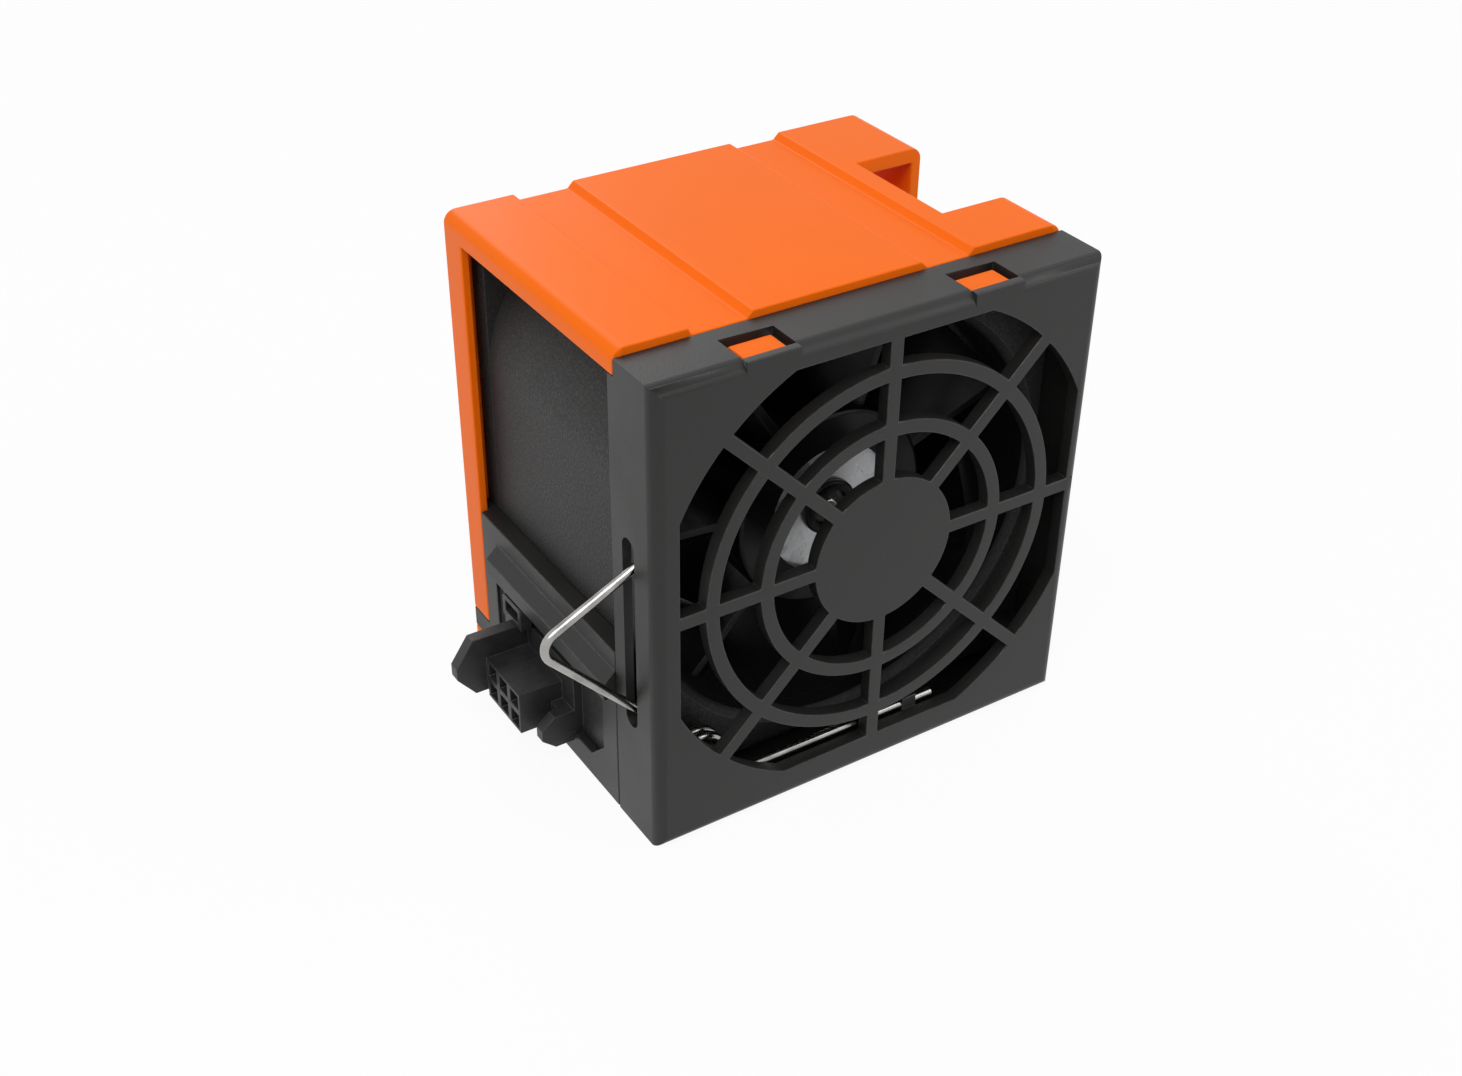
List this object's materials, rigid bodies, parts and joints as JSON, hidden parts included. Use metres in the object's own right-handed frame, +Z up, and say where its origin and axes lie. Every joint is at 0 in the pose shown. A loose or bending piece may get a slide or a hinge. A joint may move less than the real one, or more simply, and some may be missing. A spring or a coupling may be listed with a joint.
{
  "type": "server fan module",
  "caption": "Hot-swap cooling fan module: axial fan in a black moulded shell with a round finger guard, clip-on coloured cover, sprung wire catch and blind-mate side connector.",
  "frame": {"origin": "middle of the underside, half way along the depth and width of the shell", "axes": "+Z up, -Y towards the finger guard (air inlet), +X to the right seen from the guard"},
  "size_m": [0.1006, 0.0684, 0.0892],
  "materials": {
    "black_shell": "fine moulded texture, slightly satin",
    "orange_cover": "satin moulded orange",
    "fan_plastic": "glass-filled, fine grain",
    "yoke_steel": "galvanised, spangled",
    "magnet": "bonded ferrite",
    "bright_steel": "bright drawn wire and ground steel",
    "brass": "turned",
    "lamination": "stacked sheet",
    "copper": "enamelled winding",
    "circuit_board": "solder mask",
    "connector_plastic": "moulded",
    "mount_rubber": "soft moulded"
  },
  "bodies": {
    "shell": {"front_bezel": "black_shell", "lower_housing": "black_shell", "top_cover": "orange_cover", "fan_housing": "fan_plastic", "fan_inlet_flange": "fan_plastic", "fan_outlet_flange": "fan_plastic", "motor_carrier": "fan_plastic", "front_bearing_outer": "bright_steel", "rear_bearing_outer": "bright_steel", "bearing_sleeve": "brass", "stator_core": "lamination", "stator_coils": "copper", "motor_board": "circuit_board", "board_parts": "connector_plastic", "connector_housing": "connector_plastic", "connector_terminals": "brass", "connector_clip": "connector_plastic", "corner_mounts": "mount_rubber", "fan_pads": "mount_rubber", "catch_coil": "bright_steel"},
    "rotor": {"impeller": "fan_plastic", "rotor_yoke": "yoke_steel", "magnet_ring": "magnet", "rotor_shaft": "bright_steel", "yoke_bushing": "brass", "hub_boss": "fan_plastic", "front_bearing_inner": "bright_steel", "rear_bearing_inner": "bright_steel", "preload_washer": "bright_steel", "retaining_clip": "fan_plastic"},
    "catch": {"catch_wire": "bright_steel"}
  },
  "joints": [
    {"name": "impeller_spin", "type": "hinge", "parent": "shell", "child": "rotor", "pos_m": [0.0009, 0, 0.0453], "axis": [0, 1, 0], "continuous": true},
    {"name": "catch_pivot", "type": "hinge", "parent": "shell", "child": "catch", "pos_m": [-0.0317, -0.0262, 0.0119], "axis": [0, 1, 0], "range_deg": [0, 24], "stiffness_Nm_per_rad": 0.9, "springref_deg": -9.74}
  ]
}
